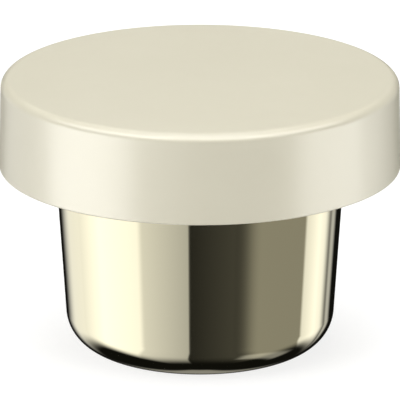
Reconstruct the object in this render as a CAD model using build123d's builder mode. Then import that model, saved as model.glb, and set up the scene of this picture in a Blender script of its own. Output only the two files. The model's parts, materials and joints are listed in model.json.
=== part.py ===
"""Cosmetic cream jar: a wide ivory lid over a tapered, polished champagne cup.

Millimetres, +Z up. The origin is the centre of the base, on the surface the jar stands on,
and +Z runs along the jar's axis. The lid screws onto a three-start thread. Under it are a
sealing disc with a folding pull tab, and the cream.
"""

import os
from math import radians, tan

from build123d import *

os.makedirs("parts", exist_ok=True)

# ---------------------------------------------------------------------------------------
# Driving dimensions
# ---------------------------------------------------------------------------------------

# Lid, outside
lid_diameter = 76.0  # at the lower edge
lid_height = 17.3
lid_draft = 1.3  # degrees that the side leans in towards the top
lid_top_round = 1.7
lid_edge_round = 0.45

# Lid, walls
lid_side_wall = 1.9
lid_top_wall = 2.0
lid_inner_round = 1.0
plate_thickness = 1.5
plate_ledge = 0.8  # how far the base plate reaches under the shell's side wall
plate_rib_height = 2.4
plate_rib_width = 1.2
plate_chamfer = 0.3

# Cup, outside
lid_overhang = 10.6  # from the cup's side out to the lid's edge, level with that edge
cup_height = 35.3  # from the base to the lid's lower edge
cup_taper = 3.75  # degrees that the side leans in towards the base
cup_bottom_round = 7.2

# Cup, walls
cup_wall = 1.5
cup_floor = 2.2
cup_rim_rise = 0.1  # the cup's rim above the lid's lower edge
rebate_width = 0.8  # step inside the rim that seats the inner cup
foot_ring_width = 1.8  # flat ring that the jar stands on, around the label recess
label_recess_depth = 0.6
label_thickness = 0.2

# Inner cup
shoulder_width = 4.1  # from the cup's side in to the neck
neck_wall = 1.5
bowl_wall = 1.5
bowl_draft = 2.5  # degrees
bowl_round = 9.0
flange_thickness = 1.2
rim_round = 0.3
collar_thickness = 0.6
collar_round = 0.3

# Thread between the neck and the lid
thread_starts = 3
thread_lead = 12.0
thread_span = 100.0  # degrees that each start covers
thread_depth = 1.1
thread_root_width = 1.9
thread_crest_width = 0.9
thread_bury = 0.4  # how deep in its wall a ridge starts
thread_margin = 0.25  # from the insert's lower edge to the first thread

# Lid insert, weight and liner
insert_wall = 1.5
insert_roof = 1.4
insert_flange_width = 5.0
insert_flange_thickness = 1.2
insert_rib_count = 12
insert_rib_thickness = 1.0
insert_rib_drop = 4.5
insert_rib_bury = 0.3  # how deep in the insert's wall a rib starts
insert_rib_inset = 0.5  # from the flange's edge in to the end of a rib
lid_weight_thickness = 3.0
liner_thickness = 1.5
liner_bead = 0.65

# Sealing disc and its pull tab
disc_flange_thickness = 0.6
disc_flange_inset = 0.3  # from the neck's outside to the disc's edge
disc_panel_thickness = 0.6
disc_depth = 2.0  # from the rim down to the panel's underside
disc_plug_wall = 0.9
disc_plug_chamfer = 0.3
tab_width = 11.0
tab_length = 12.5
tab_thickness = 1.0
tab_round = 4.5
tab_hinge_y = 4.5  # from the axis to the hinge line
tab_boss_width = 1.2
tab_grip_ribs = 3
tab_grip_pitch = 1.6
tab_grip_start = 2.2  # from the free end to the first rib
tab_grip_inset = 3.25  # from the tab's sides in to the ends of the ribs
tab_grip_width = 0.6
tab_grip_height = 0.25

# Base weight and cream
base_weight_thickness = 3.0
base_weight_chamfer = 0.3
locating_ring_inset = 0.3  # from the edge of the cup's flat floor in to the locating ring
locating_ring_height = 1.2
locating_ring_width = 1.0
bowl_foot_height = 1.3  # ring under the bowl that holds the weight down
bowl_foot_inset = 3.4  # from the edge of the bowl's flat bottom in to that ring
headspace = 7.1  # from the cream up to the sealing disc

# Clearances
lid_gap = 0.4  # collar to the underside of the lid
thread_gap = 0.35  # thread crest to the facing wall
thread_flank_gap = 0.15  # between the flanks that pull the lid down
liner_gap = 0.35
plug_gap = 0.3
glue_gap = 0.1  # around pieces that are pressed or glued in
label_gap = 1.0  # around the label, in its recess
weight_gap = 1.2  # around the lid weight's outer edge
cream_gap = 0.05
tab_gap = 0.2
hinge_gap = 0.15

# ---------------------------------------------------------------------------------------
# Heights and radii worked out from them
# ---------------------------------------------------------------------------------------

lid_edge_radius = lid_diameter / 2
lid_top_radius = lid_edge_radius - lid_height * tan(radians(lid_draft))
cup_top_radius = lid_edge_radius - lid_overhang


def cup_radius(height, inset=0.0):
    """The cup's radius at a height above the base, set in from its outside."""
    return cup_top_radius - tan(radians(cup_taper)) * (cup_height - height) - inset


def flat_radius(corner_radius, draft, rounding):
    """Radius of the flat inside a rounded corner between a floor and a side that leans out."""
    return corner_radius - rounding / tan(radians((90 + draft) / 2))


cup_rim_z = cup_height + cup_rim_rise
collar_top_z = cup_rim_z + collar_thickness
plate_bottom_z = collar_top_z + lid_gap
plate_top_z = plate_bottom_z + plate_thickness
lid_top_z = cup_height + lid_height
roof_z = lid_top_z - lid_top_wall
liner_top_z = roof_z - insert_roof
disc_top_z = liner_top_z - liner_thickness
rim_z = disc_top_z - disc_flange_thickness

neck_radius = cup_top_radius - shoulder_width
mouth_radius = neck_radius - neck_wall
thread_crest_radius = neck_radius + thread_depth
insert_bore_radius = thread_crest_radius + thread_gap
insert_outer_radius = insert_bore_radius + insert_wall
insert_flange_radius = insert_outer_radius + insert_flange_width
lid_weight_bottom_z = roof_z - lid_weight_thickness

# The lid's thread lies just under the neck's, so that turning the lid pulls it down.
thread_rise = thread_lead * thread_span / 360
flank_slope = (thread_root_width - thread_crest_width) / 2 / thread_depth
mesh_width = (thread_root_width + thread_crest_width) / 2 - flank_slope * thread_gap
lid_thread_z = plate_bottom_z + thread_margin + thread_root_width / 2
neck_thread_z = lid_thread_z + mesh_width + thread_flank_gap

rebate_radius = cup_radius(cup_rim_z, cup_wall) + rebate_width
flange_bottom_z = cup_rim_z - flange_thickness
recess_radius = flat_radius(cup_radius(0), cup_taper, cup_bottom_round) - foot_ring_width
inner_bottom_round = cup_bottom_round - cup_wall
floor_radius = flat_radius(cup_radius(cup_floor, cup_wall), cup_taper, inner_bottom_round)
ring_outer = floor_radius - locating_ring_inset
ring_inner = ring_outer - locating_ring_width
base_weight_radius = ring_inner - glue_gap
base_weight_top_z = cup_floor + base_weight_thickness
bowl_bottom_z = base_weight_top_z + bowl_foot_height
bowl_floor_z = bowl_bottom_z + bowl_wall

panel_bottom_z = rim_z - disc_depth
cream_top_z = panel_bottom_z - headspace
panel_top_z = panel_bottom_z + disc_panel_thickness
plug_radius = mouth_radius - plug_gap
tab_bottom_z = panel_top_z + tab_gap
hinge_z = tab_bottom_z + tab_thickness / 2


def corner(section, radius, height):
    """The corner of a half section that lies nearest to this radius and height."""
    return section.vertices().sort_by_distance((radius, height, 0))[0]


def bowl_radius(height, inset=0.0):
    """The bowl's radius at a height, set in from its outside."""
    return neck_radius - tan(radians(bowl_draft)) * (flange_bottom_z - height) - inset


# ---------------------------------------------------------------------------------------
# Cup
# ---------------------------------------------------------------------------------------

with BuildPart() as outer_cup:
    ring_top = cup_floor + locating_ring_height
    inside_low = cup_radius(cup_floor, cup_wall)
    inside_high = cup_radius(flange_bottom_z, cup_wall)
    with BuildSketch(Plane.XZ) as cup_section:
        with BuildLine():
            Polyline(
                (0, label_recess_depth),
                (recess_radius, label_recess_depth),
                (recess_radius, 0),
                (cup_radius(0), 0),
                (cup_radius(cup_rim_z), cup_rim_z),
                (rebate_radius, cup_rim_z),
                (rebate_radius, flange_bottom_z),
                (inside_high, flange_bottom_z),
                (inside_low, cup_floor),
                (ring_outer, cup_floor),
                (ring_outer, ring_top),
                (ring_inner, ring_top),
                (ring_inner, cup_floor),
                (0, cup_floor),
                close=True,
            )
        make_face()
        fillet(corner(cup_section, cup_radius(0), 0), cup_bottom_round)
        fillet(corner(cup_section, inside_low, cup_floor), inner_bottom_round)
    revolve(axis=Axis.Z)

outer_cup.part.label = "outer_cup"
export_step(outer_cup.part, "parts/outer_cup.step")

with BuildPart() as base_label:
    with BuildSketch(Plane.XY.offset(label_recess_depth - label_thickness)):
        Circle(recess_radius - label_gap)
    extrude(amount=label_thickness)

base_label.part.label = "base_label"
export_step(base_label.part, "parts/base_label.step")

with BuildPart() as base_weight:
    with BuildSketch(Plane.XY.offset(cup_floor)):
        Circle(base_weight_radius)
    extrude(amount=base_weight_thickness)
    chamfer(base_weight.edges().filter_by(GeomType.CIRCLE), base_weight_chamfer)

base_weight.part.label = "base_weight"
export_step(base_weight.part, "parts/base_weight.step")

# ---------------------------------------------------------------------------------------
# Inner cup, its collar and the cream
# ---------------------------------------------------------------------------------------


def thread_ridge(base_radius, tip_radius, height):
    """One start of a thread: a trapezoid on a helix, from its base, in a wall, to its tip."""
    root = thread_root_width / 2
    crest = thread_crest_width / 2
    # The ridge starts inside the wall that carries it, on the far side from its tip.
    buried = base_radius + (thread_bury if tip_radius < base_radius else -thread_bury)
    with BuildPart() as ridge:
        with BuildLine() as path:
            Helix(thread_lead, thread_rise, neck_radius, center=(0, 0, height))
        with BuildSketch(Plane.XZ):
            with BuildLine():
                Polyline(
                    (buried, height - root),
                    (base_radius, height - root),
                    (tip_radius, height - crest),
                    (tip_radius, height + crest),
                    (base_radius, height + root),
                    (buried, height + root),
                    close=True,
                )
            make_face()
        sweep(path=path.line, is_frenet=True)
    return ridge.part


neck_ridge = thread_ridge(neck_radius, thread_crest_radius, neck_thread_z)

with BuildPart() as inner_cup:
    bottom_corner = bowl_radius(bowl_bottom_z)
    foot_outer = flat_radius(bottom_corner, bowl_draft, bowl_round) - bowl_foot_inset
    foot_inner = foot_outer - bowl_wall
    flange_radius = rebate_radius - glue_gap
    with BuildSketch(Plane.XZ) as bowl_section:
        with BuildLine():
            Polyline(
                (0, bowl_bottom_z),
                (foot_inner, bowl_bottom_z),
                (foot_inner, base_weight_top_z),
                (foot_outer, base_weight_top_z),
                (foot_outer, bowl_bottom_z),
                (bottom_corner, bowl_bottom_z),
                (neck_radius, flange_bottom_z),
                (flange_radius, flange_bottom_z),
                (flange_radius, cup_rim_z),
                (neck_radius, cup_rim_z),
                (neck_radius, rim_z),
                (mouth_radius, rim_z),
                (mouth_radius, cup_rim_z),
                (bowl_radius(bowl_floor_z, bowl_wall), bowl_floor_z),
                (0, bowl_floor_z),
                close=True,
            )
        make_face()
        fillet(corner(bowl_section, bottom_corner, bowl_bottom_z), bowl_round)
        inner_corner = corner(bowl_section, bowl_radius(bowl_floor_z, bowl_wall), bowl_floor_z)
        fillet(inner_corner, bowl_round - bowl_wall)
        fillet(corner(bowl_section, neck_radius, rim_z), rim_round)
        fillet(corner(bowl_section, mouth_radius, rim_z), rim_round)
    revolve(axis=Axis.Z)
    with PolarLocations(0, thread_starts):
        add(neck_ridge)

inner_cup.part.label = "inner_cup"
export_step(inner_cup.part, "parts/inner_cup.step")

with BuildPart() as neck_collar:
    with BuildSketch(Plane.XZ) as collar_section:
        with BuildLine():
            Polyline(
                (neck_radius + glue_gap, cup_rim_z),
                (cup_radius(cup_rim_z), cup_rim_z),
                (cup_radius(cup_rim_z), collar_top_z),
                (neck_radius + glue_gap, collar_top_z),
                close=True,
            )
        make_face()
        fillet(corner(collar_section, cup_radius(cup_rim_z), collar_top_z), collar_round)
    revolve(axis=Axis.Z)

neck_collar.part.label = "neck_collar"
export_step(neck_collar.part, "parts/neck_collar.step")

with BuildPart() as cream:
    inset = bowl_wall + cream_gap
    floor = bowl_floor_z + cream_gap
    with BuildSketch(Plane.XZ) as cream_section:
        with BuildLine():
            Polyline(
                (0, floor),
                (bowl_radius(floor, inset), floor),
                (min(bowl_radius(cream_top_z, inset), mouth_radius - cream_gap), cream_top_z),
                (0, cream_top_z),
                close=True,
            )
        make_face()
        fillet(corner(cream_section, bowl_radius(floor, inset), floor), bowl_round - bowl_wall)
    revolve(axis=Axis.Z)

cream.part.label = "cream"
export_step(cream.part, "parts/cream.step")

# ---------------------------------------------------------------------------------------
# Sealing disc and pull tab
# ---------------------------------------------------------------------------------------

with BuildPart() as sealing_disc:
    disc_radius = neck_radius - disc_flange_inset
    well_radius = plug_radius - disc_plug_wall
    with BuildSketch(Plane.XZ) as disc_section:
        with BuildLine():
            Polyline(
                (0, panel_bottom_z),
                (plug_radius, panel_bottom_z),
                (plug_radius, rim_z),
                (disc_radius, rim_z),
                (disc_radius, disc_top_z),
                (well_radius, disc_top_z),
                (well_radius, panel_top_z),
                (0, panel_top_z),
                close=True,
            )
        make_face()
        chamfer(corner(disc_section, plug_radius, panel_bottom_z), disc_plug_chamfer)
    revolve(axis=Axis.Z)
    # Boss that carries the tab's hinge line
    boss_y = tab_hinge_y + tab_thickness / 2 + hinge_gap
    with BuildSketch(Plane.XY.offset(panel_top_z)):
        with Locations((0, boss_y)):
            Rectangle(tab_width, tab_boss_width, align=(Align.CENTER, Align.MIN))
    extrude(amount=tab_gap + tab_thickness)

sealing_disc.part.label = "sealing_disc"
export_step(sealing_disc.part, "parts/sealing_disc.step")

with BuildPart() as disc_tab:
    free_end = tab_hinge_y - tab_length
    with BuildSketch(Plane.XY.offset(tab_bottom_z)) as tab_outline:
        with Locations((0, free_end)):
            Rectangle(tab_width, tab_length, align=(Align.CENTER, Align.MIN))
        fillet(tab_outline.vertices().group_by(Axis.Y)[0], tab_round)
    extrude(amount=tab_thickness)
    # Round root on the hinge line
    with BuildSketch(Plane.YZ.offset(-tab_width / 2)):
        with Locations((tab_hinge_y, hinge_z)):
            Circle(tab_thickness / 2)
    extrude(amount=tab_width)
    # Grip ribs across the free end
    for k in range(tab_grip_ribs):
        rib_y = free_end + tab_grip_start + k * tab_grip_pitch
        with BuildSketch(Plane.XY.offset(tab_bottom_z + tab_thickness)):
            with Locations((0, rib_y)):
                SlotOverall(tab_width - 2 * tab_grip_inset, tab_grip_width)
        extrude(amount=tab_grip_height)

disc_tab.part.label = "disc_tab"
export_step(disc_tab.part, "parts/disc_tab.step")

# ---------------------------------------------------------------------------------------
# Lid
# ---------------------------------------------------------------------------------------

with BuildPart() as lid_shell:
    lip_radius = lid_edge_radius - lid_side_wall + plate_ledge
    inside_radius = lid_edge_radius - lid_side_wall
    with BuildSketch(Plane.XZ) as shell_section:
        with BuildLine():
            Polyline(
                (0, roof_z),
                (lid_top_radius - lid_side_wall, roof_z),
                (inside_radius, plate_top_z),
                (lip_radius, plate_top_z),
                (lip_radius, cup_height),
                (lid_edge_radius, cup_height),
                (lid_top_radius, lid_top_z),
                (0, lid_top_z),
                close=True,
            )
        make_face()
        fillet(corner(shell_section, lid_top_radius, lid_top_z), lid_top_round)
        fillet(corner(shell_section, lid_edge_radius, cup_height), lid_edge_round)
        fillet(corner(shell_section, lid_top_radius - lid_side_wall, roof_z), lid_inner_round)
    revolve(axis=Axis.Z)

lid_shell.part.label = "lid_shell"
export_step(lid_shell.part, "parts/lid_shell.step")

with BuildPart() as lid_base_plate:
    plate_inner = insert_outer_radius + glue_gap
    plate_outer = lip_radius - glue_gap
    rib_radius = (plate_inner + plate_outer) / 2
    rib_top = plate_top_z + plate_rib_height
    with BuildSketch(Plane.XZ) as plate_section:
        with BuildLine():
            Polyline(
                (plate_inner, plate_bottom_z),
                (plate_outer, plate_bottom_z),
                (plate_outer, plate_top_z),
                (rib_radius + plate_rib_width / 2, plate_top_z),
                (rib_radius + plate_rib_width / 2, rib_top),
                (rib_radius - plate_rib_width / 2, rib_top),
                (rib_radius - plate_rib_width / 2, plate_top_z),
                (plate_inner, plate_top_z),
                close=True,
            )
        make_face()
        chamfer(corner(plate_section, plate_outer, plate_bottom_z), plate_chamfer)
        chamfer(corner(plate_section, plate_inner, plate_bottom_z), plate_chamfer)
    revolve(axis=Axis.Z)

lid_base_plate.part.label = "lid_base_plate"
export_step(lid_base_plate.part, "parts/lid_base_plate.step")

lid_ridge = thread_ridge(insert_bore_radius, insert_bore_radius - thread_depth, lid_thread_z)

with BuildPart() as lid_insert:
    flange_top = lid_weight_bottom_z
    flange_bottom = flange_top - insert_flange_thickness
    bead_top = disc_top_z - glue_gap
    with BuildSketch(Plane.XZ) as insert_section:
        with BuildLine():
            Polyline(
                (0, liner_top_z),
                (insert_bore_radius, liner_top_z),
                (insert_bore_radius, bead_top),
                (insert_bore_radius - liner_bead, bead_top - liner_bead / 2),
                (insert_bore_radius, bead_top - liner_bead),
                (insert_bore_radius, plate_bottom_z),
                (insert_outer_radius, plate_bottom_z),
                (insert_outer_radius, flange_bottom),
                (insert_flange_radius, flange_bottom),
                (insert_flange_radius, flange_top),
                (insert_outer_radius, flange_top),
                (insert_outer_radius, roof_z),
                (0, roof_z),
                close=True,
            )
        make_face()
    revolve(axis=Axis.Z)
    with PolarLocations(0, thread_starts):
        add(lid_ridge)
    # Gussets under the flange
    rib_root = insert_outer_radius - insert_rib_bury
    for k in range(insert_rib_count):
        around = Plane.XZ.rotated((0, 0, 360 / insert_rib_count * k))
        with BuildSketch(around):
            with BuildLine():
                Polyline(
                    (rib_root, flange_bottom - insert_rib_drop),
                    (insert_flange_radius - insert_rib_inset, flange_bottom),
                    (rib_root, flange_bottom),
                    close=True,
                )
            make_face()
        extrude(amount=insert_rib_thickness / 2, both=True)

lid_insert.part.label = "lid_insert"
export_step(lid_insert.part, "parts/lid_insert.step")

with BuildPart() as lid_weight:
    with BuildSketch(Plane.XY.offset(lid_weight_bottom_z)):
        Circle(lid_top_radius - lid_side_wall - weight_gap)
        Circle(insert_outer_radius + glue_gap, mode=Mode.SUBTRACT)
    extrude(amount=lid_weight_thickness)

lid_weight.part.label = "lid_weight"
export_step(lid_weight.part, "parts/lid_weight.step")

with BuildPart() as lid_liner:
    with BuildSketch(Plane.XY.offset(disc_top_z)):
        Circle(insert_bore_radius - liner_gap)
    extrude(amount=liner_thickness)

lid_liner.part.label = "lid_liner"
export_step(lid_liner.part, "parts/lid_liner.step")
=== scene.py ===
"""Cosmetic cream jar: a wide ivory screw lid over a tapered, polished champagne cup.

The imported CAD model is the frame, and every CAD piece gets a finished material here. The lid's
shell and the cup are turned again with finer fillets, the lid's insert is copied with its mesh
mended, and the cream gets a swirled surface. Metres, +Z up, the jar standing on z = 0.
"""

import json
import math

import bmesh
import bpy
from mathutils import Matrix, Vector


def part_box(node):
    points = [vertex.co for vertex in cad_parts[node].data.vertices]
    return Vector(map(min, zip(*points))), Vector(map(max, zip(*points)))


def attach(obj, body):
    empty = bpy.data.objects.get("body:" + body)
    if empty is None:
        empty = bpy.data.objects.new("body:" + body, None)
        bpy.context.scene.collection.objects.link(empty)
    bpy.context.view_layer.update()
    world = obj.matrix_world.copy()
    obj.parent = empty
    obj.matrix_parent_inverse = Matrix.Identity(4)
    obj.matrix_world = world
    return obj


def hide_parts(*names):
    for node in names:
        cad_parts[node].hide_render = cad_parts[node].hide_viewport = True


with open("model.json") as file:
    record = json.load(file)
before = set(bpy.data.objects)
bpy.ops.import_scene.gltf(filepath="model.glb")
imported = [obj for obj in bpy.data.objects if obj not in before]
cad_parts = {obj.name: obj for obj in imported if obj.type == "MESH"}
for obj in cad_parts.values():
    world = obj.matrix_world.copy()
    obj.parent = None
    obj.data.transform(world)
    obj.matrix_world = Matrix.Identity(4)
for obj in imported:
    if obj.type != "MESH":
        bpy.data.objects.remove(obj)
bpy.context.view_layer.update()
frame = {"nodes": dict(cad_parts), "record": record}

nodes = frame["nodes"]
cup_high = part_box("outer_cup")[1]
lid_low, lid_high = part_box("lid_shell")


# --------------------------------------------------------------------------------------
# Material building blocks
# --------------------------------------------------------------------------------------

NOISE_SPAN = (0.3, 0.7)  # where nearly all of a noise's values lie
MIX_FIRST, MIX_SECOND, MIX_RESULT = 6, 7, 2  # the Mix node's sockets for colours


class Shader:
    """A material's node tree around one Principled shader, with a few short-hand calls."""

    def __init__(self, name, **inputs):
        self.material = bpy.data.materials.new(name)
        self.material.use_nodes = True
        self.tree = self.material.node_tree
        self.tree.nodes.clear()
        self.output = self.tree.nodes.new("ShaderNodeOutputMaterial")
        self.surface = self.tree.nodes.new("ShaderNodeBsdfPrincipled")
        self.link(self.surface.outputs["BSDF"], self.output.inputs["Surface"])
        for key, value in inputs.items():
            self.surface.inputs[key.replace("_", " ")].default_value = value
        self.place = self.tree.nodes.new("ShaderNodeTexCoord").outputs["Object"]

    def link(self, source, target):
        self.tree.links.new(source, target)

    def noise(self, scale, detail, stretch=None):
        """Noise in object coordinates, which may be scaled per axis first."""
        where = self.place
        if stretch:
            mapping = self.tree.nodes.new("ShaderNodeMapping")
            mapping.inputs["Scale"].default_value = stretch
            self.link(where, mapping.inputs["Vector"])
            where = mapping.outputs["Vector"]
        node = self.tree.nodes.new("ShaderNodeTexNoise")
        node.inputs["Scale"].default_value = scale
        node.inputs["Detail"].default_value = detail
        self.link(where, node.inputs["Vector"])
        return node.outputs["Fac"]

    def spread(self, value, low, high):
        """A noise, spread from its usual span to low .. high."""
        node = self.tree.nodes.new("ShaderNodeMapRange")
        node.inputs["From Min"].default_value = NOISE_SPAN[0]
        node.inputs["From Max"].default_value = NOISE_SPAN[1]
        node.inputs["To Min"].default_value = low
        node.inputs["To Max"].default_value = high
        self.link(value, node.inputs["Value"])
        return node.outputs["Result"]

    def tone(self, scale, dark, light, detail=3):
        """Mottle the colour between two close shades."""
        share = self.spread(self.noise(scale, detail), 0, 1)
        node = self.tree.nodes.new("ShaderNodeMix")
        node.data_type = "RGBA"
        node.inputs[MIX_FIRST].default_value = (*dark, 1)
        node.inputs[MIX_SECOND].default_value = (*light, 1)
        self.link(share, node.inputs["Factor"])
        self.link(node.outputs[MIX_RESULT], self.surface.inputs["Base Color"])

    def roughness(self, scale, low, high, detail=3):
        """Vary the roughness between two values."""
        value = self.spread(self.noise(scale, detail), low, high)
        self.link(value, self.surface.inputs["Roughness"])

    def grain(self, scale, strength, depth, detail=3, stretch=None):
        """Bumps of a depth in metres."""
        height = self.noise(scale, detail, stretch)
        node = self.tree.nodes.new("ShaderNodeBump")
        node.inputs["Strength"].default_value = strength
        node.inputs["Distance"].default_value = depth
        self.link(height, node.inputs["Height"])
        self.link(node.outputs["Normal"], self.surface.inputs["Normal"])


# --------------------------------------------------------------------------------------
# Materials
# --------------------------------------------------------------------------------------


def ivory_plastic():
    """Moulded ivory plastic with a satin lacquer: a trace of mottle and orange peel."""
    s = Shader("ivory_lid", IOR=1.49, Specular_IOR_Level=1.0)
    s.tone(scale=35, detail=4, dark=(0.64, 0.606, 0.475), light=(0.66, 0.626, 0.495))
    s.roughness(scale=160, low=0.285, high=0.325)
    s.grain(scale=900, detail=2, strength=0.05, depth=0.0001)
    return s.material


def champagne_metal():
    """Polished, champagne-anodised aluminium, with faint turning marks round the axis."""
    s = Shader("champagne_metal", Metallic=1.0)
    s.tone(scale=18, detail=2, dark=(0.795, 0.748, 0.553), light=(0.805, 0.757, 0.562))
    s.roughness(scale=120, detail=4, low=0.035, high=0.06)
    s.grain(scale=1, stretch=(6, 6, 2600), strength=0.04, depth=0.00002)
    return s.material


def white_plastic():
    """Injection-moulded white polypropylene."""
    s = Shader("white_plastic", IOR=1.49)
    s.tone(scale=50, dark=(0.80, 0.80, 0.78), light=(0.84, 0.84, 0.82))
    s.roughness(scale=300, low=0.32, high=0.45)
    s.grain(scale=1200, detail=2, strength=0.06, depth=0.0001)
    return s.material


def soft_plastic():
    """Milky low-density polyethylene of the sealing disc and its tab."""
    s = Shader("disc_plastic", IOR=1.51)
    s.tone(scale=70, dark=(0.84, 0.84, 0.82), light=(0.88, 0.88, 0.865))
    s.roughness(scale=240, low=0.38, high=0.5)
    s.grain(scale=700, strength=0.1, depth=0.0001)
    return s.material


def wad_foam():
    """The liner's fine closed cells."""
    s = Shader("liner_wad", IOR=1.45)
    s.tone(scale=400, dark=(0.80, 0.80, 0.78), light=(0.88, 0.88, 0.86))
    s.roughness(scale=500, low=0.6, high=0.8)
    s.grain(scale=2500, detail=2, strength=0.3, depth=0.0001)
    return s.material


def steel():
    """Zinc-grey stamped steel of the hidden weights."""
    s = Shader("weight_steel", Metallic=1.0)
    s.tone(scale=90, detail=5, dark=(0.42, 0.42, 0.43), light=(0.55, 0.55, 0.56))
    s.roughness(scale=500, low=0.3, high=0.45)
    return s.material


def label_film():
    """Blank satin label stock."""
    s = Shader("label_film", IOR=1.5)
    s.tone(scale=500, dark=(0.80, 0.79, 0.75), light=(0.84, 0.83, 0.79))
    s.roughness(scale=800, low=0.4, high=0.5)
    s.grain(scale=3000, strength=0.1, depth=0.00005)
    return s.material


def face_cream():
    """Rich, slightly translucent cream."""
    s = Shader(
        "cream",
        IOR=1.4,
        Subsurface_Weight=0.3,
        Subsurface_Radius=(0.004, 0.003, 0.002),
        Subsurface_Scale=0.5,
    )
    s.tone(scale=120, dark=(0.90, 0.865, 0.79), light=(0.93, 0.90, 0.83))
    s.roughness(scale=250, low=0.30, high=0.40)
    s.grain(scale=420, strength=0.12, depth=0.0002)
    return s.material


MAKERS = {
    "ivory_lid": ivory_plastic,
    "champagne_metal": champagne_metal,
    "white_plastic": white_plastic,
    "disc_plastic": soft_plastic,
    "liner_wad": wad_foam,
    "weight_steel": steel,
    "label_film": label_film,
    "cream": face_cream,
}
materials = {slot: make() for slot, make in MAKERS.items()}

for part in frame["record"]["subparts"]:
    mesh = nodes[part["node"]].data
    mesh.materials.clear()
    mesh.materials.append(materials[part["material_slot"]])


# --------------------------------------------------------------------------------------
# Mesh building blocks
# --------------------------------------------------------------------------------------


def circle(bm, radius, height, steps):
    """Vertices round the jar's axis, or a single one on it."""
    if radius == 0:
        return [bm.verts.new((0, 0, height))]
    angles = [2 * math.pi * k / steps for k in range(steps)]
    return [bm.verts.new((radius * math.cos(a), radius * math.sin(a), height)) for a in angles]


def bridge(bm, low, high):
    """Faces between two circles, either of which may be a single vertex."""
    steps = max(len(low), len(high))
    for k in range(steps):
        n = (k + 1) % steps
        corners = [low[k % len(low)], low[n % len(low)], high[n % len(high)], high[k % len(high)]]
        corners = list(dict.fromkeys(corners))
        if len(corners) > 2:
            bm.faces.new(corners)


def finished(bm, name, material):
    """The mesh of a bmesh, which is freed, with its material."""
    mesh = bpy.data.meshes.new(name)
    bm.to_mesh(mesh)
    bm.free()
    mesh.materials.append(material)
    return mesh


def stand_in(name, mesh, body, node):
    """Show a mesh as a piece on a body, in place of a CAD node."""
    piece = bpy.data.objects.new(name, mesh)
    bpy.context.scene.collection.objects.link(piece)
    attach(piece, body)
    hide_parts(node)


# --------------------------------------------------------------------------------------
# The lid's shell and the cup, turned with finer fillets
# --------------------------------------------------------------------------------------

LATHE_STEPS = 256
FILLET_STEP = 4  # degrees
SHARP_ANGLE = math.radians(28)
SUPPORT = 0.00005  # from a fillet's end to the loop that keeps the flat beside it flat

# Roundings, walls and steps, as on the CAD pieces that these two stand for
LID_ROUND, LID_EDGE_ROUND, LID_INNER_ROUND = 0.0017, 0.00045, 0.001
LID_DRAFT = math.radians(1.3)
LID_EDGE_RADIUS = 0.038
LID_SIDE_WALL, LID_TOP_WALL = 0.0019, 0.002
LID_LIP_HEIGHT, LID_LIP_STEP = 0.0026, 0.0008
CUP_TAPER = math.radians(3.75)
CUP_ROUND = 0.0072
CUP_WALL, CUP_FLOOR = 0.0015, 0.0022
CUP_REBATE_DEPTH, CUP_REBATE_WIDTH = 0.0012, 0.0008
LABEL_RECESS, LABEL_GAP = 0.0006, 0.001
RING_GAP, RING_WIDTH, RING_HEIGHT = 0.0001, 0.001, 0.0012


def rounded(outline, roundings):
    """The outline, a list of (radius, height), with the corners named by index rounded off."""
    points = []
    for k, corner in enumerate(outline):
        here = Vector(corner)
        if k not in roundings:
            points.append(here)
            continue
        back = (Vector(outline[k - 1]) - here).normalized()
        ahead = (Vector(outline[(k + 1) % len(outline)]) - here).normalized()
        half = back.angle(ahead) / 2
        reach = roundings[k] / math.tan(half)
        centre = here + (back + ahead).normalized() * (roundings[k] / math.sin(half))
        first, last = here + back * reach, here + ahead * reach
        sweep = math.pi - 2 * half
        count = round(math.degrees(sweep) / FILLET_STEP)
        start, end = first - centre, last - centre
        side = 1 if start.x * end.y - start.y * end.x > 0 else -1
        points.append(first + back * SUPPORT)
        for n in range(count + 1):
            turn = side * sweep * n / count
            x = start.x * math.cos(turn) - start.y * math.sin(turn)
            y = start.x * math.sin(turn) + start.y * math.cos(turn)
            points.append(centre + Vector((x, y)))
        points.append(last + ahead * SUPPORT)
    return points


def turned(name, outline, slot, body, node):
    """A closed outline turned round the jar's axis, standing for a CAD node."""
    bm = bmesh.new()
    rings = [circle(bm, radius, height, LATHE_STEPS) for radius, height in outline]
    for low, high in zip(rings, rings[1:] + rings[:1]):
        bridge(bm, low, high)
    bmesh.ops.recalc_face_normals(bm, faces=bm.faces)
    mesh = finished(bm, name, materials[slot])
    mesh.shade_smooth()
    mesh.set_sharp_from_angle(angle=SHARP_ANGLE)
    stand_in(name, mesh, body, node)


def lid_shell():
    """The ivory shell: a drafted side, a rounded top edge, and a step inside its lower edge."""
    low, top = lid_low.z, lid_high.z
    edge = LID_EDGE_RADIUS
    shoulder = edge - (top - low) * math.tan(LID_DRAFT)
    inside = edge - LID_SIDE_WALL
    roof = top - LID_TOP_WALL
    outline = [
        (0, roof),
        (shoulder - LID_SIDE_WALL, roof),
        (inside, low + LID_LIP_HEIGHT),
        (inside + LID_LIP_STEP, low + LID_LIP_HEIGHT),
        (inside + LID_LIP_STEP, low),
        (edge, low),
        (shoulder, top),
        (0, top),
    ]
    roundings = {1: LID_INNER_ROUND, 5: LID_EDGE_ROUND, 6: LID_ROUND}
    turned("lid_shell_turned", rounded(outline, roundings), "ivory_lid", "lid", "lid_shell")


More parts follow.
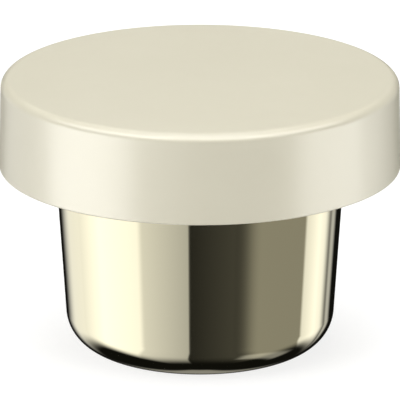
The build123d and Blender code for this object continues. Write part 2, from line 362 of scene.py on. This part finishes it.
def outer_cup():
    """The polished cup: tapered, with a deep round foot, a label recess and a locating ring."""
    rim = cup_high.z

    def side(height, inset=0.0):
        return cup_high.x - (rim - height) * math.tan(CUP_TAPER) - inset

    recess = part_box("base_label")[1].x + LABEL_GAP
    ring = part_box("base_weight")[1].x + RING_GAP
    seat = rim - CUP_REBATE_DEPTH
    outline = [
        (0, LABEL_RECESS),
        (recess, LABEL_RECESS),
        (recess, 0),
        (side(0), 0),
        (side(rim), rim),
        (side(rim, CUP_WALL) + CUP_REBATE_WIDTH, rim),
        (side(rim, CUP_WALL) + CUP_REBATE_WIDTH, seat),
        (side(seat, CUP_WALL), seat),
        (side(CUP_FLOOR, CUP_WALL), CUP_FLOOR),
        (ring + RING_WIDTH, CUP_FLOOR),
        (ring + RING_WIDTH, CUP_FLOOR + RING_HEIGHT),
        (ring, CUP_FLOOR + RING_HEIGHT),
        (ring, CUP_FLOOR),
        (0, CUP_FLOOR),
    ]
    roundings = {3: CUP_ROUND, 8: CUP_ROUND - CUP_WALL}
    turned("outer_cup_turned", rounded(outline, roundings), "champagne_metal", "jar", "outer_cup")


lid_shell()
outer_cup()


# --------------------------------------------------------------------------------------
# The lid's insert
# --------------------------------------------------------------------------------------

SLIVER_WIDTH = 0.000001


def lid_insert():
    """The insert as it is, with the hair-thin slivers along its thread's root closed up."""
    mesh = nodes["lid_insert"].data.copy()
    bm = bmesh.new()
    bm.from_mesh(mesh)
    bmesh.ops.remove_doubles(bm, verts=bm.verts, dist=SLIVER_WIDTH)
    bm.to_mesh(mesh)
    bm.free()
    stand_in("lid_insert_threaded", mesh, "lid", "lid_insert")


lid_insert()


# --------------------------------------------------------------------------------------
# Cream
# --------------------------------------------------------------------------------------

CREAM_STEPS, CREAM_RINGS = 160, 64
LEVEL_DIGITS = 5  # decimals of a metre, to which the heights of one ring's vertices agree
SWIRL_TURNS = 2.3
SWIRL_OPENING = 0.8  # below 1, the turns lie wider apart towards the rim
RIDGE_HEIGHT, RIDGE_SHARPNESS, RIDGE_MEAN = 0.0019, 1.6, 0.4
CENTRE_FADE, RIM_FADE = 0.6, 6  # powers of the radius at which the ridges grow and die away
PEAK_HEIGHT, PEAK_WIDTH = 0.0022, 0.16  # the width is a share of the radius
SWIRL_SINK = 0.0012  # from the CAD cream's top down to the swirl's mean level


def wall_profile(node):
    """(radius, height) pairs up the outside of a turned CAD node, from its floor to its top."""
    rings = {}
    for v in nodes[node].data.vertices:
        height = round(v.co.z, LEVEL_DIGITS)
        rings[height] = max(rings.get(height, 0.0), math.hypot(v.co.x, v.co.y))
    return [(rings[h], h) for h in sorted(rings)]


def swirl_height(share, angle):
    """Height of the swirled surface over its mean, at a share of the radius and an angle."""
    phase = angle - 2 * math.pi * SWIRL_TURNS * share**SWIRL_OPENING
    ridge = (0.5 + 0.5 * math.cos(phase)) ** RIDGE_SHARPNESS - RIDGE_MEAN
    fade = share**CENTRE_FADE * (1 - share**RIM_FADE)
    peak = math.exp(-((share / PEAK_WIDTH) ** 2))
    return RIDGE_HEIGHT * ridge * fade + PEAK_HEIGHT * peak


def cream_swirl():
    """The cream: the bowl's shape below, and a surface swept into a spiral by a spatula."""
    profile = wall_profile("cream")
    top_radius, top_height = profile.pop()
    bm = bmesh.new()
    rings = [circle(bm, radius, height, CREAM_STEPS) for radius, height in profile]
    bm.faces.new(reversed(rings[0]))
    for i in range(CREAM_RINGS + 1):
        share = 1 - i / CREAM_RINGS
        ring = circle(bm, top_radius * share, top_height, CREAM_STEPS)
        for k, v in enumerate(ring):
            v.co.z += swirl_height(share, 2 * math.pi * k / CREAM_STEPS) - SWIRL_SINK
        rings.append(ring)
    for low, high in zip(rings, rings[1:]):
        bridge(bm, low, high)
    mesh = finished(bm, "cream_swirl", materials["cream"])
    mesh.shade_smooth()
    stand_in("cream_swirl", mesh, "jar", "cream")


cream_swirl()


# --------------------------------------------------------------------------------------
# Studio: the light tent that polished and satin surfaces mirror
# --------------------------------------------------------------------------------------

# Directions are in degrees. Azimuth runs round the jar: 0 is in front of it, and positive is to
# its right. Elevation is up from the horizontal.
#
# Each card is an upright panel between two azimuths. It is lit from one brightness at its start
# to another at its end, and each side edge fades over a number of degrees.
NEUTRAL, WARM = (1, 1, 1), (1, 0.97, 0.84)
CARDS = [
    # start, end, brightness at each, fade at each, tint
    (-147, -118, 0.98, 1.10, 26, 3, NEUTRAL),
    (-118, -92, 1.06, 1.46, 3, 10, NEUTRAL),
    (-92, -51, 1.50, 1.26, 10, 6, NEUTRAL),
    (-51, -9.3, 0.86, 0.52, 6, 1.4, NEUTRAL),
    (-9.3, 34, 0.017, 0.062, 1.4, 14, WARM),
    (41, 97.5, 0.30, 0.29, 24, 1.6, WARM),
    (97.5, 117, 0.95, 1.36, 3, 6, NEUTRAL),
    (117, 131, 1.30, 1.05, 6, 14, NEUTRAL),
    (136.5, 145.5, 0.56, 0.50, 6, 8, NEUTRAL),
    (172, 190, 0.22, 0.22, 6, 2, NEUTRAL),
    (-190, -172, 0.22, 0.22, 2, 6, NEUTRAL),
]
ASIDE = (50, 118)  # azimuths over which the cards' feet change from the first value to the second
FOOT = (-60, -34)  # elevation of the feet
FOOT_FADE = (14, 9)  # half the height over which they fade
CARD_TOP = (2, 22)  # elevations over which the cards end
LEAN = 0.35  # share taken off the azimuth low down, so that the cards spread at their feet
LEAN_DEPTH = (25, 62)  # degrees below the horizontal over which they lean
LEAN_END = (140, 165)  # azimuths over which the lean ends, behind the jar

# A thin sill along the foot of the right-hand cards: brightness, then start, end and two fades.
SILL_LIGHT = 0.26
SILL_ACROSS = (46, 112, 14, 14)
SILL_UP = (-58, -46, 6, 8)
# A faint patch low behind the jar, which the lower part of its round foot mirrors.
BEHIND_LIGHT = 0.28
BEHIND_SIDE = (157, 173)
BEHIND_UP = (-76, -44, 10, 12)
# The tent's soft top.
TOP_LIGHT = 0.36
TOP_FADE = (8, 30)
DARK = (0.006, 0.006, 0.005)

TENT_RADIUS = 1.5
TENT_STEP = 1  # degrees


def smooth(value, low, high):
    """A smooth step from 0 at low to 1 at high."""
    t = min(max((value - low) / (high - low), 0), 1)
    return t * t * (3 - 2 * t)


def window(value, start, end, fade_in, fade_out):
    """1 between start and end, 0 outside, with faded edges."""
    rise = smooth(value, start - fade_in / 2, start + fade_in / 2)
    return rise * (1 - smooth(value, end - fade_out / 2, end + fade_out / 2))


def blend(pair, share):
    """A value between a pair's two, by a share."""
    return pair[0] + (pair[1] - pair[0]) * share


def tent_light(azimuth, elevation):
    """Colour of the light tent in a direction: the cards, a dark foot, and a soft top."""
    colour = Vector(DARK)
    side = abs(azimuth)
    aside = smooth(side, *ASIDE)
    foot, fade = blend(FOOT, aside), blend(FOOT_FADE, aside)
    upright = smooth(elevation, foot - fade, foot + fade) * (1 - smooth(elevation, *CARD_TOP))
    lean = LEAN * smooth(-elevation, *LEAN_DEPTH) * (1 - smooth(side, *LEAN_END))
    across = azimuth * (1 - lean)
    for start, end, first, last, fade_in, fade_out, tint in CARDS:
        share = min(max((across - start) / (end - start), 0), 1)
        light = blend((first, last), share) * window(across, start, end, fade_in, fade_out)
        colour += upright * light * Vector(tint)
    sill = SILL_LIGHT * window(azimuth, *SILL_ACROSS) * window(elevation, *SILL_UP)
    behind = BEHIND_LIGHT * smooth(side, *BEHIND_SIDE) * window(elevation, *BEHIND_UP)
    top = TOP_LIGHT * smooth(elevation, *TOP_FADE)
    return colour + (sill + behind + top) * Vector(NEUTRAL)


def staged(name, mesh):
    """A mesh object of the studio, which isn't part of the jar."""
    piece = bpy.data.objects.new(name, mesh)
    bpy.context.scene.collection.objects.link(piece)
    return piece


def glowing_paint():
    """Emits the colour that each vertex carries. It isn't sampled as a light."""
    material = bpy.data.materials.new("light_tent")
    material.use_nodes = True
    tree = material.node_tree
    tree.nodes.clear()
    attribute = tree.nodes.new("ShaderNodeAttribute")
    attribute.attribute_name = "glow"
    emission = tree.nodes.new("ShaderNodeEmission")
    output = tree.nodes.new("ShaderNodeOutputMaterial")
    tree.links.new(attribute.outputs["Color"], emission.inputs["Color"])
    tree.links.new(emission.outputs["Emission"], output.inputs["Surface"])
    material.cycles.emission_sampling = "NONE"
    return material


def light_tent():
    """The sphere of cards round the jar. Only glossy reflections see it."""
    bm = bmesh.new()
    glow = bm.verts.layers.float_color.new("glow")
    rows = []
    for elevation in range(-90, 91, TENT_STEP):
        height = TENT_RADIUS * math.sin(math.radians(elevation))
        radius = TENT_RADIUS * math.cos(math.radians(elevation))
        ring = []
        for azimuth in range(-180, 180, TENT_STEP):
            a = math.radians(azimuth)
            v = bm.verts.new((radius * math.sin(a), -radius * math.cos(a), height))
            v[glow] = (*tent_light(azimuth, elevation), 1)
            ring.append(v)
        rows.append(ring)
    for low, high in zip(rows, rows[1:]):
        bridge(bm, low, high)
    tent = staged("light_tent", finished(bm, "light_tent", glowing_paint()))
    tent.visible_camera = False
    tent.visible_diffuse = False
    tent.visible_shadow = False
    tent.visible_transmission = False


# --------------------------------------------------------------------------------------
# Studio: floor and wall
# --------------------------------------------------------------------------------------

FLOOR_RADIUS = 2.2
COVE_RADIUS = 0.9
COVE_STEPS = 9
WALL_TOP = 4.0
WALL_STEPS = 96
FLOOR_GLOW = 0.8  # lifts the paper to white, so that only a faint shadow shows
PAPER_DARK, PAPER_LIGHT = (0.30, 0.30, 0.30), (0.32, 0.32, 0.32)


def floor_and_wall():
    """A pale floor, swept up into a wall all round it. The metal mirrors the tent instead."""
    paper = Shader("floor", Roughness=0.9, Specular_IOR_Level=0.0, Emission_Strength=FLOOR_GLOW)
    paper.surface.inputs["Emission Color"].default_value = (1, 1, 1, 1)
    paper.tone(scale=3, dark=PAPER_DARK, light=PAPER_LIGHT)

    bm = bmesh.new()
    bm.faces.new(circle(bm, FLOOR_RADIUS, 0, WALL_STEPS))
    floor = staged("floor", finished(bm, "floor", paper.material))
    floor.visible_glossy = False
    floor.visible_shadow = False

    bm = bmesh.new()
    rings = []
    for k in range(COVE_STEPS + 1):
        a = math.pi / 2 * k / COVE_STEPS
        radius = FLOOR_RADIUS + COVE_RADIUS * math.sin(a)
        rings.append(circle(bm, radius, COVE_RADIUS * (1 - math.cos(a)), WALL_STEPS))
    rings.append(circle(bm, FLOOR_RADIUS + COVE_RADIUS, WALL_TOP, WALL_STEPS))
    for low, high in zip(rings, rings[1:]):
        bridge(bm, high, low)
    wall = staged("wall", finished(bm, "wall", paper.material))
    wall.data.shade_smooth()
    wall.visible_glossy = False
    wall.visible_diffuse = False


floor_and_wall()
light_tent()


# --------------------------------------------------------------------------------------
# Studio: lights
# --------------------------------------------------------------------------------------


def softbox(name, azimuth, elevation, power, size=0.6, width=None, reach=1.2, only=None):
    """An area light aimed at the jar: square, or a wider strip, for all or for some pieces."""
    data = bpy.data.lights.new(name, "AREA")
    data.shape = "RECTANGLE"
    data.size = width or size
    data.size_y = size
    data.energy = power
    light = bpy.data.objects.new(name, data)
    bpy.context.scene.collection.objects.link(light)
    a, e = math.radians(azimuth), math.radians(elevation)
    back = Vector((math.sin(a) * math.cos(e), -math.cos(a) * math.cos(e), math.sin(e)))
    light.location = Vector((0, 0, lid_low.z)) + back * reach
    light.rotation_mode = "QUATERNION"
    light.rotation_quaternion = (-back).to_track_quat("-Z", "Y")
    light.light_linking.receiver_collection = only
    return light


def wash(name, **settings):
    """Soft light on everything that isn't polished. Reflections don't show it."""
    softbox(name, **settings).visible_glossy = False


def sheen(name, **settings):
    """A panel that shows only in reflections."""
    softbox(name, **settings).visible_diffuse = False


wash("wash_left", azimuth=-58, elevation=26, power=4.8)
wash("wash_right", azimuth=55, elevation=22, power=3.8)
wash("wash_front", azimuth=0, elevation=64, power=0.36, size=0.2, reach=0.4)
wash("wash_back", azimuth=180, elevation=60, power=4.0)
wash("wash_top", azimuth=0, elevation=86, power=11.0, size=0.9)

# The side panels hang low, where only the side of the lid mirrors them.
ivory_pieces = bpy.data.collections.new("ivory_pieces")
ivory_pieces.objects.link(bpy.data.objects["lid_shell_turned"])
sheen("sheen_left", azimuth=-66, elevation=-23, power=13.5, size=1.2, only=ivory_pieces)
sheen("sheen_right", azimuth=80, elevation=-22, power=8.4, size=1.0, only=ivory_pieces)

# Three strips in front draw the bright line along the lid's top edge.
sheen("sheen_front", azimuth=0, elevation=45, power=5.5, size=0.45, width=1.4)
sheen("sheen_front_left", azimuth=-60, elevation=45, power=7.5, size=0.45, width=1.4)
sheen("sheen_front_right", azimuth=60, elevation=45, power=6, size=0.45, width=1.4)
sheen("sheen_top", azimuth=0, elevation=70, power=2.5, size=0.8)


# --------------------------------------------------------------------------------------
# Camera: a long lens, looking slightly down
# --------------------------------------------------------------------------------------

LENS_MM = 574.0
SENSOR_MM = 36.0
CAMERA_ELEVATION = math.radians(17.5)
DISTANCE = 1.209
DROP = 0.00666  # how far the aim lies below the centre of the lid's lower edge, up the picture
CLIP_START, CLIP_END = 0.05, 20


def camera():
    e = CAMERA_ELEVATION
    back = Vector((0, -math.cos(e), math.sin(e)))
    up = Vector((0, math.sin(e), math.cos(e)))
    aim = Vector((0, 0, lid_low.z)) - up * DROP
    data = bpy.data.cameras.new("camera")
    data.lens = LENS_MM
    data.sensor_width = SENSOR_MM
    data.clip_start = CLIP_START
    data.clip_end = CLIP_END
    cam = bpy.data.objects.new("camera", data)
    bpy.context.scene.collection.objects.link(cam)
    cam.location = aim + back * DISTANCE
    cam.rotation_mode = "QUATERNION"
    cam.rotation_quaternion = (-back).to_track_quat("-Z", "Y")
    bpy.context.scene.camera = cam


camera()
bpy.context.scene.view_settings.view_transform = "Standard"
